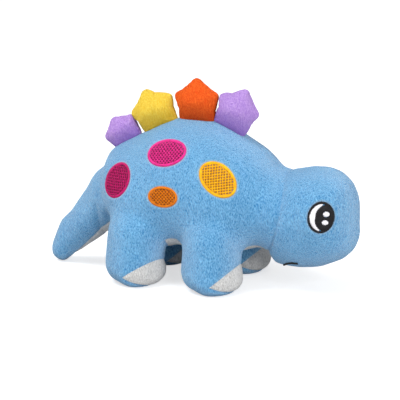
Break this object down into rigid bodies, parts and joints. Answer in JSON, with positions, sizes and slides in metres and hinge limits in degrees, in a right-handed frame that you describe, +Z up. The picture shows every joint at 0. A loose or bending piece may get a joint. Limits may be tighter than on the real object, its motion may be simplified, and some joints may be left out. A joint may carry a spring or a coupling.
{
  "type": "stuffed dinosaur",
  "caption": "Stuffed toy stegosaurus in plush with a white belly and foot pads, padded back plates, and embroidered spots, eyes and mouth; it stands on its feet and its stuffed parts flex.",
  "frame": {"origin": "on the floor below the middle of the toy's length, in its plane of symmetry", "axes": "+X towards the face, +Z up, +Y towards the toy's left side"},
  "size_m": [0.3495, 0.152, 0.2145],
  "materials": {
    "blue_plush": "short plush pile",
    "white_plush": "short plush pile",
    "lilac_plush": "short plush pile",
    "yellow_plush": "short plush pile",
    "orange_plush": "short plush pile",
    "magenta_thread": "embroidery thread",
    "amber_thread": "embroidery thread",
    "yellow_thread": "embroidery thread",
    "black_thread": "embroidery thread",
    "white_thread": "embroidery thread",
    "filling": "loose fibre"
  },
  "bodies": {
    "torso": {"side_panel_right": "blue_plush", "side_panel_left": "blue_plush", "belly_panel": "white_plush", "torso_stuffing": "filling", "rump_spot_right": "magenta_thread", "back_spot_right": "magenta_thread", "flank_spot_right": "amber_thread", "shoulder_spot_right": "yellow_thread", "rump_spot_left": "magenta_thread", "back_spot_left": "magenta_thread", "flank_spot_left": "amber_thread", "shoulder_spot_left": "yellow_thread"},
    "neck": {"neck_cover": "blue_plush", "neck_stuffing": "filling"},
    "head": {"head_panel_right": "blue_plush", "head_panel_left": "blue_plush", "head_stuffing": "filling", "mouth_stitching": "black_thread", "eye_black_right": "black_thread", "eye_white_right": "white_thread", "eye_black_left": "black_thread", "eye_white_left": "white_thread"},
    "tail_root": {"tail_root_cover": "blue_plush", "tail_root_stuffing": "filling"},
    "tail": {"tail_panel_right": "blue_plush", "tail_panel_left": "blue_plush", "tail_underside": "white_plush", "tail_stuffing": "filling"},
    "leg_rear_right": {"leg_rear_right_cover": "blue_plush", "leg_rear_right_pad": "white_plush", "leg_rear_right_stuffing": "filling"},
    "leg_rear_left": {"leg_rear_left_cover": "blue_plush", "leg_rear_left_pad": "white_plush", "leg_rear_left_stuffing": "filling"},
    "leg_front_right": {"leg_front_right_cover": "blue_plush", "leg_front_right_pad": "white_plush", "leg_front_right_stuffing": "filling"},
    "leg_front_left": {"leg_front_left_cover": "blue_plush", "leg_front_left_pad": "white_plush", "leg_front_left_stuffing": "filling"},
    "plate_1": {"plate_1_panel_right": "lilac_plush", "plate_1_panel_left": "lilac_plush", "plate_1_stuffing": "filling"},
    "plate_2": {"plate_2_panel_right": "yellow_plush", "plate_2_panel_left": "yellow_plush", "plate_2_stuffing": "filling"},
    "plate_3": {"plate_3_panel_right": "orange_plush", "plate_3_panel_left": "orange_plush", "plate_3_stuffing": "filling"},
    "plate_4": {"plate_4_panel_right": "lilac_plush", "plate_4_panel_left": "lilac_plush", "plate_4_stuffing": "filling"}
  },
  "joints": [
    {"name": "neck_turn", "type": "hinge", "parent": "torso", "child": "neck", "pos_m": [0.09, 0, 0.082], "axis": [0, 0, 1], "range_deg": [-15, 15], "stiffness_Nm_per_rad": 1},
    {"name": "head_nod", "type": "hinge", "parent": "neck", "child": "head", "pos_m": [0.09, 0, 0.082], "axis": [0, 1, 0], "range_deg": [-10, 7], "stiffness_Nm_per_rad": 1.2},
    {"name": "tail_swing", "type": "hinge", "parent": "torso", "child": "tail_root", "pos_m": [-0.099, 0, 0.078], "axis": [0, 0, 1], "range_deg": [-18, 18], "stiffness_Nm_per_rad": 0.5},
    {"name": "tail_lift", "type": "hinge", "parent": "tail_root", "child": "tail", "pos_m": [-0.099, 0, 0.078], "axis": [0, 1, 0], "range_deg": [0, 16], "stiffness_Nm_per_rad": 0.5},
    {"name": "leg_rear_right_swing", "type": "hinge", "parent": "torso", "child": "leg_rear_right", "pos_m": [-0.058, -0.043, 0.053], "axis": [0, 1, 0], "range_deg": [-8, 8], "stiffness_Nm_per_rad": 0.8},
    {"name": "leg_rear_left_swing", "type": "hinge", "parent": "torso", "child": "leg_rear_left", "pos_m": [-0.058, 0.043, 0.053], "axis": [0, 1, 0], "range_deg": [-8, 8], "stiffness_Nm_per_rad": 0.8},
    {"name": "leg_front_right_swing", "type": "hinge", "parent": "torso", "child": "leg_front_right", "pos_m": [0.028, -0.043, 0.053], "axis": [0, 1, 0], "range_deg": [-8, 8], "stiffness_Nm_per_rad": 0.8},
    {"name": "leg_front_left_swing", "type": "hinge", "parent": "torso", "child": "leg_front_left", "pos_m": [0.028, 0.043, 0.053], "axis": [0, 1, 0], "range_deg": [-8, 8], "stiffness_Nm_per_rad": 0.8},
    {"name": "plate_1_fold", "type": "hinge", "parent": "torso", "child": "plate_1", "pos_m": [-0.08538, 0, 0.14516], "axis": [0.7547, 0, 0.6561], "range_deg": [-35, 35], "stiffness_Nm_per_rad": 0.05},
    {"name": "plate_2_fold", "type": "hinge", "parent": "torso", "child": "plate_2", "pos_m": [-0.04785, 0, 0.16504], "axis": [0.8829, 0, 0.4695], "range_deg": [-35, 35], "stiffness_Nm_per_rad": 0.05},
    {"name": "plate_3_fold", "type": "hinge", "parent": "torso", "child": "plate_3", "pos_m": [-0.00461, 0, 0.17576], "axis": [0.9994, 0, 0.0349], "range_deg": [-35, 35], "stiffness_Nm_per_rad": 0.05},
    {"name": "plate_4_fold", "type": "hinge", "parent": "torso", "child": "plate_4", "pos_m": [0.03381, 0, 0.171], "axis": [0.9063, 0, -0.4226], "range_deg": [-35, 35], "stiffness_Nm_per_rad": 0.05}
  ]
}
